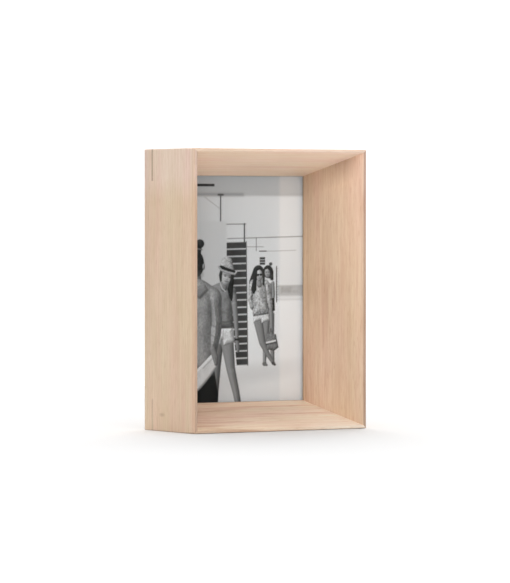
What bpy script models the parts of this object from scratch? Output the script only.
"""Deep floating frame for a 100 x 150 mm print: four mitred wedge boards with corner keys,
a glazed print held near the back, turn buttons, hangers and bumpers.

Metres, +Z up. The front faces -Y. The origin is the bottom centre of the whole object.
"""

import math

import bmesh
import bpy
from mathutils import Vector

# Driving dimensions of the wooden box.
WIDTH = 0.130
HEIGHT = 0.180
DEPTH = 0.062
FRONT_EDGE = 0.002  # board thickness at the front
LIP_EDGE = 0.017  # board thickness at the lip, where the opening is smallest
LIP_DEPTH = 0.050  # from the front to the lip's back face
REBATE_WALL = 0.014  # board thickness behind the lip
OUTER_EASE = 0.0005  # how far the front's outer edge is eased across the board's thickness
OUTER_EASE_LENGTH = 0.003  # and how far it runs back along the outer face
INNER_EASE = 0.0002
BACK_EASE = 0.0005

# Corner keys, let into the mitres near the back.
KEY_LEG = 0.0204
KEY_THICKNESS = 0.002
KEY_DEPTH = 0.052  # from the front to the key's middle

# Sheets in the rebate, from the lip towards the back.
GLASS_THICKNESS = 0.002
PRINT_THICKNESS = 0.0003
CARD_THICKNESS = 0.003
PANEL_THICKNESS = 0.0052
PRINT_SIZE = (0.100, 0.150)
SHEET_CLEARANCE = 0.0006  # between the sheets' edges and the rebate wall

# Hardware on the back rim.
BUTTON_LENGTH = 0.020
BUTTON_WIDTH = 0.008
BUTTON_THICKNESS = 0.001
BUTTON_REACH = 0.0155  # from the screw to the tip that holds the panel
BUTTON_SPREAD = 0.045  # from mid height to each screw
SCREW_RADIUS = 0.0015
SCREW_LENGTH = 0.010
SCREW_HEAD_RADIUS = 0.0030
SCREW_HEAD_HEIGHT = 0.0014
BUTTON_HOLE_RADIUS = 0.0017
HANGER_LENGTH = 0.044
HANGER_WIDTH = 0.008
HANGER_THICKNESS = 0.0008
HANGER_RISE = 0.0011
HANGER_EAR = 0.009  # flat part at each end, which the nail holds
HANGER_TEETH = 13
TOOTH_DEPTH = 0.0012
NAIL_RADIUS = 0.0007
NAIL_LENGTH = 0.008
NAIL_HEAD_RADIUS = 0.0016
NAIL_HEAD_HEIGHT = 0.0005
BUMPER_RADIUS = 0.0045
BUMPER_HEIGHT = 0.003

GAP = 0.0002  # between pieces that touch
JOINT_GAP = 0.00015  # on each side of a glued joint
PILOT_CLEARANCE = 0.0002
CUT_PAST = 0.001  # how far a cutter runs past the surface that it opens
ROUND_SIDES = 24

FRONT_Y = -(DEPTH + BUMPER_HEIGHT) / 2
BACK_Y = FRONT_Y + DEPTH
RIM_MIDDLE = REBATE_WALL / 2
BACKWARD = Vector((0, 1, 0))

# Each side's outer face: a point at its middle, the way inwards, the way along it, its length.
SIDES = {
    "left": (Vector((-WIDTH / 2, 0, HEIGHT / 2)), Vector((1, 0, 0)), Vector((0, 0, 1)), HEIGHT),
    "right": (Vector((WIDTH / 2, 0, HEIGHT / 2)), Vector((-1, 0, 0)), Vector((0, 0, 1)), HEIGHT),
    "top": (Vector((0, 0, HEIGHT)), Vector((0, 0, -1)), Vector((1, 0, 0)), WIDTH),
    "bottom": (Vector((0, 0, 0)), Vector((0, 0, 1)), Vector((1, 0, 0)), WIDTH),
}

# Name: colour, roughness, metallic.
MATERIALS = {
    "ash_wood": ((0.66, 0.50, 0.36), 0.55, 0.0),
    "key_wood": ((0.55, 0.40, 0.28), 0.55, 0.0),
    "clear_glass": ((0.90, 0.95, 0.93), 0.05, 0.0),
    "print_paper": ((0.70, 0.70, 0.70), 0.45, 0.0),
    "grey_card": ((0.45, 0.42, 0.38), 0.9, 0.0),
    "fibreboard": ((0.33, 0.22, 0.13), 0.7, 0.0),
    "zinc_steel": ((0.62, 0.62, 0.60), 0.35, 1.0),
    "clear_rubber": ((0.75, 0.75, 0.72), 0.4, 0.0),
}


def clear_scene():
    """Remove what the startup file holds."""
    for thing in list(bpy.data.objects):
        bpy.data.objects.remove(thing)


def material(name):
    """The named material, made when it is first asked for."""
    found = bpy.data.materials.get(name)
    if found:
        return found
    colour, roughness, metallic = MATERIALS[name]
    made = bpy.data.materials.new(name)
    made.use_nodes = True
    shader = made.node_tree.nodes["Principled BSDF"]
    shader.inputs["Base Color"].default_value = (*colour, 1.0)
    shader.inputs["Roughness"].default_value = roughness
    shader.inputs["Metallic"].default_value = metallic
    return made


def add_object(name, shape, slot, location=(0, 0, 0), smooth=False):
    """Turn a bmesh into an object with faces pointing out and one material."""
    bmesh.ops.recalc_face_normals(shape, faces=shape.faces)
    mesh = bpy.data.meshes.new(name)
    shape.to_mesh(mesh)
    shape.free()
    mesh.materials.append(material(slot))
    if smooth:
        mesh.shade_smooth()
        mesh.set_sharp_from_angle(angle=math.radians(40))
    thing = bpy.data.objects.new(name, mesh)
    thing.location = location
    bpy.context.scene.collection.objects.link(thing)
    return thing


def as_cutter(thing):
    """Keep an object out of the model, for Booleans only."""
    thing.hide_render = True
    thing.display_type = "WIRE"
    return thing


def cut(thing, cutter):
    """Take a cutter away from an object."""
    boolean = thing.modifiers.new(cutter.name, "BOOLEAN")
    boolean.operation = "DIFFERENCE"
    boolean.object = cutter


def loft(sections):
    """A closed body through sections that all have the same number of points."""
    shape = bmesh.new()
    rings = [[shape.verts.new(point) for point in section] for section in sections]
    for first, second in zip(rings, rings[1:]):
        for index, corner in enumerate(first):
            after = (index + 1) % len(first)
            shape.faces.new((corner, first[after], second[after], second[index]))
    shape.faces.new(rings[0])
    shape.faces.new(rings[-1])
    return shape


def turned(profile):
    """A body of revolution about Y, from (radius, y) points that start and end on the axis."""
    shape = bmesh.new()
    ends = [shape.verts.new((0, y, 0)) for radius, y in (profile[0], profile[-1])]
    rings = []
    for radius, y in profile[1:-1]:
        angles = [math.tau * step / ROUND_SIDES for step in range(ROUND_SIDES)]
        ring = [(radius * math.cos(a), y, radius * math.sin(a)) for a in angles]
        rings.append([shape.verts.new(point) for point in ring])
    for index in range(ROUND_SIDES):
        after = (index + 1) % ROUND_SIDES
        shape.faces.new((ends[0], rings[0][index], rings[0][after]))
        shape.faces.new((ends[1], rings[-1][after], rings[-1][index]))
        for first, second in zip(rings, rings[1:]):
            shape.faces.new((first[index], second[index], second[after], first[after]))
    return shape


def pilot_hole(name, location, radius, length):
    """A cutter for the hole that a screw or nail fills, past the surface it enters."""
    reach = length + PILOT_CLEARANCE
    above = GAP + HANGER_THICKNESS + CUT_PAST
    profile = [(0, -reach), (radius, -reach), (radius, above), (0, above)]
    return as_cutter(add_object(name, turned(profile), "zinc_steel", location))


# The wooden box


def arc(centre, radius, start, end, steps, second_radius=None):
    """Points on an arc of a circle or an ellipse, with the angles in degrees."""
    other = second_radius or radius
    angles = [math.radians(start + (end - start) * step / steps) for step in range(steps + 1)]
    return [(centre[0] + radius * math.cos(a), centre[1] + other * math.sin(a)) for a in angles]


def board_profile():
    """The board's section as (thickness, depth) points, the same for all four boards."""
    slope = (LIP_EDGE - FRONT_EDGE) / LIP_DEPTH
    outer = arc((OUTER_EASE, OUTER_EASE_LENGTH), OUTER_EASE, 180, 270, 6, OUTER_EASE_LENGTH)
    inner = [(FRONT_EDGE - INNER_EASE, 0), (FRONT_EDGE + INNER_EASE * slope, INNER_EASE)]
    lip = [(LIP_EDGE, LIP_DEPTH), (REBATE_WALL, LIP_DEPTH)]
    back = [(REBATE_WALL, DEPTH), (BACK_EASE, DEPTH), (0, DEPTH - BACK_EASE)]
    return outer + inner + lip + back


def board_point(side, thickness, depth, along):
    """A point in a board, from its outer face, the front and its middle."""
    middle, inward, lengthwise, _ = SIDES[side]
    return middle + inward * thickness + BACKWARD * (FRONT_Y + depth) + lengthwise * along


def board(side):
    """One wedge board with a mitre at both ends."""
    half = SIDES[side][3] / 2 - JOINT_GAP * math.sqrt(2)
    sections = []
    for end in (-1, 1):
        ring = [board_point(side, t, d, end * (half - t)) for t, d in board_profile()]
        sections.append(ring)
    return add_object(f"{side}_board", loft(sections), "ash_wood")


def key_prism(name, upright, across, leg, overhang, thickness):
    """A triangular plate in an outer corner, its middle at the key's depth."""
    outward_x = 1 if across == "right" else -1
    outward_z = 1 if upright == "top" else -1
    corner = Vector((outward_x * WIDTH / 2, FRONT_Y + KEY_DEPTH, HEIGHT if upright == "top" else 0))
    places = [(overhang, overhang), (overhang, -leg - overhang), (-leg - overhang, overhang)]
    sections = []
    for side in (-1, 1):
        shift = BACKWARD * side * thickness / 2
        sections.append(
            [corner + shift + Vector((outward_x * x, 0, outward_z * z)) for x, z in places]
        )
    return add_object(name, loft(sections), "key_wood")


def wooden_box():
    """Four boards, and a key in a slot across each mitre."""
    boards = {side: board(side) for side in SIDES}
    slot_leg = KEY_LEG + JOINT_GAP * math.sqrt(2)
    slot_thickness = KEY_THICKNESS + 2 * JOINT_GAP
    for upright in ("top", "bottom"):
        for across in ("left", "right"):
            corner = f"{upright}_{across}"
            key_prism(f"corner_key_{corner}", upright, across, KEY_LEG, 0, KEY_THICKNESS)
            slot = key_prism(
                f"slot_{corner}", upright, across, slot_leg, CUT_PAST, slot_thickness
            )
            as_cutter(slot)
            cut(boards[upright], slot)
            cut(boards[across], slot)
    return boards


# The sheets in the rebate


def sheet(name, size, front_depth, thickness, slot):
    """A flat sheet centred in the opening, its front face at the given depth."""
    x, z = size[0] / 2, size[1] / 2
    sections = []
    for depth in (front_depth, front_depth + thickness):
        y = FRONT_Y + depth
        corners = ((-x, -z), (x, -z), (x, z), (-x, z))
        sections.append([Vector((px, y, HEIGHT / 2 + pz)) for px, pz in corners])
    return add_object(name, loft(sections), slot)


def picture_stack():
    """Glass, print, card and back panel, one behind the other."""
    inset = 2 * (REBATE_WALL + SHEET_CLEARANCE)
    pocket = (WIDTH - inset, HEIGHT - inset)
    stack = (
        ("glazing_pane", pocket, GLASS_THICKNESS, "clear_glass"),
        ("photo_print", PRINT_SIZE, PRINT_THICKNESS, "print_paper"),
        ("backing_card", pocket, CARD_THICKNESS, "grey_card"),
        ("back_panel", pocket, PANEL_THICKNESS, "fibreboard"),
    )
    depth = LIP_DEPTH + GAP
    for name, size, thickness, slot in stack:
        sheet(name, size, depth, thickness, slot)
        depth += thickness + GAP


# The hardware on the back rim


def rim_place(side, along):
    """A point on the back face in the middle of a board's rim."""
    return board_point(side, RIM_MIDDLE, DEPTH, along)


def headed_pin(name, location, radius, length, head_radius, head_height, seat):
    """A screw or nail with a domed head, its head's underside at the seat height."""
    tip = 2 * radius
    profile = [(0, -length), (radius, -length + tip), (radius, seat), (head_radius, seat)]
    rim_height = 0.3 * head_height
    for degrees in (0, 30, 60, 90):
        turn = math.radians(degrees)
        rise = rim_height + (head_height - rim_height) * math.sin(turn)
        profile.append((head_radius * math.cos(turn), seat + rise))
    profile[-1] = (0, seat + head_height)
    return add_object(name, turned(profile), "zinc_steel", location, smooth=True)


def button_plate(name, location, inward):
    """A flat plate with round ends that turns about its screw hole."""
    end_radius = BUTTON_WIDTH / 2
    tip_centre = BUTTON_REACH - end_radius
    tail_centre = BUTTON_REACH - BUTTON_LENGTH + end_radius
    outline = arc((tip_centre, 0), end_radius, -90, 90, 10)
    outline += arc((tail_centre, 0), end_radius, 90, 270, 10)
    sections = []
    for y in (GAP, GAP + BUTTON_THICKNESS):
        sections.append([Vector((inward.x * u, y, v)) for u, v in outline])
    plate = add_object(name, loft(sections), "zinc_steel", location)
    radius = BUTTON_HOLE_RADIUS
    through = GAP + BUTTON_THICKNESS + CUT_PAST
    profile = [(0, -CUT_PAST), (radius, -CUT_PAST), (radius, through), (0, through)]
    hole = as_cutter(add_object(f"hole_{name}", turned(profile), "zinc_steel", location))
    cut(plate, hole)
    return plate


def turn_buttons(boards):
    """Two plates on each upright board, each on its own screw."""
    seat = 2 * GAP + BUTTON_THICKNESS
    for level, sign in (("upper", 1), ("lower", -1)):
        for side in ("left", "right"):
            place = rim_place(side, sign * BUTTON_SPREAD)
            where = f"{level}_{side}"
            button_plate(f"turn_button_{where}", place, SIDES[side][1])
            headed_pin(
                f"button_screw_{where}",
                place,
                SCREW_RADIUS,
                SCREW_LENGTH,
                SCREW_HEAD_RADIUS,
                SCREW_HEAD_HEIGHT,
                seat,
            )
            pilot = pilot_hole(
                f"pilot_{where}", place, SCREW_RADIUS + PILOT_CLEARANCE, SCREW_LENGTH
            )
            cut(boards[side], pilot)


def hanger_stations():
    """Places along the hanger, each with its toothed edge, its plain edge and its rise."""
    half = HANGER_LENGTH / 2
    radius = HANGER_WIDTH / 2
    flat = half - HANGER_EAR
    stations = []
    for angle in (20, 45, 70, 90):
        x = -half + radius * (1 - math.cos(math.radians(angle)))
        reach = radius * math.sin(math.radians(angle))
        stations.append((x, -reach, reach, 0.0))
    stations.append((-flat - HANGER_RISE, -radius, radius, 0.0))
    for step in range(2 * HANGER_TEETH + 1):
        x = -flat + 2 * flat * step / (2 * HANGER_TEETH)
        low = -radius + (TOOTH_DEPTH if step % 2 else 0.0)
        stations.append((x, low, radius, HANGER_RISE))
    mirrored = [(-x, low, high, rise) for x, low, high, rise in reversed(stations[:5])]
    return stations + mirrored


def sawtooth_hanger(name, side, boards):
    """A stamped strip nailed at both ends, its raised middle toothed on the inward edge."""
    _, inward, lengthwise, _ = SIDES[side]
    centre = rim_place(side, 0)
    under, over = GAP, GAP + HANGER_THICKNESS
    sections = []
    for along, low, high, rise in hanger_stations():
        corners = ((low, under), (high, under), (high, over), (low, over))
        sections.append(
            [lengthwise * along - inward * across + BACKWARD * (y + rise) for across, y in corners]
        )
    strip = add_object(name, loft(sections), "zinc_steel", centre)
    for end, sign in (("a", -1), ("b", 1)):
        place = centre + lengthwise * sign * (HANGER_LENGTH - HANGER_WIDTH) / 2
        hole = pilot_hole(f"pilot_{name}_{end}", place, NAIL_RADIUS + PILOT_CLEARANCE, NAIL_LENGTH)
        cut(strip, hole)
        cut(boards[side], hole)
        headed_pin(
            f"{name}_nail_{end}",
            place,
            NAIL_RADIUS,
            NAIL_LENGTH,
            NAIL_HEAD_RADIUS,
            NAIL_HEAD_HEIGHT,
            2 * GAP + HANGER_THICKNESS,
        )


def bumpers():
    """A rubber foot on the back face at each corner, which the wall touches."""
    flat_radius = 0.7 * BUMPER_RADIUS
    rounding = BUMPER_RADIUS - flat_radius
    shoulder = arc((flat_radius, BUMPER_HEIGHT - rounding), rounding, 0, 90, 3)
    profile = [(0, GAP), (BUMPER_RADIUS, GAP)] + shoulder + [(0, BUMPER_HEIGHT)]
    for upright in ("top", "bottom"):
        for across, sign in (("left", -1), ("right", 1)):
            place = rim_place(upright, sign * (WIDTH / 2 - RIM_MIDDLE))
            name = f"wall_bumper_{upright}_{across}"
            add_object(name, turned(profile), "clear_rubber", place, smooth=True)


def main():
    clear_scene()
    boards = wooden_box()
    picture_stack()
    turn_buttons(boards)
    sawtooth_hanger("portrait_hanger", "top", boards)
    sawtooth_hanger("landscape_hanger", "left", boards)
    bumpers()


main()
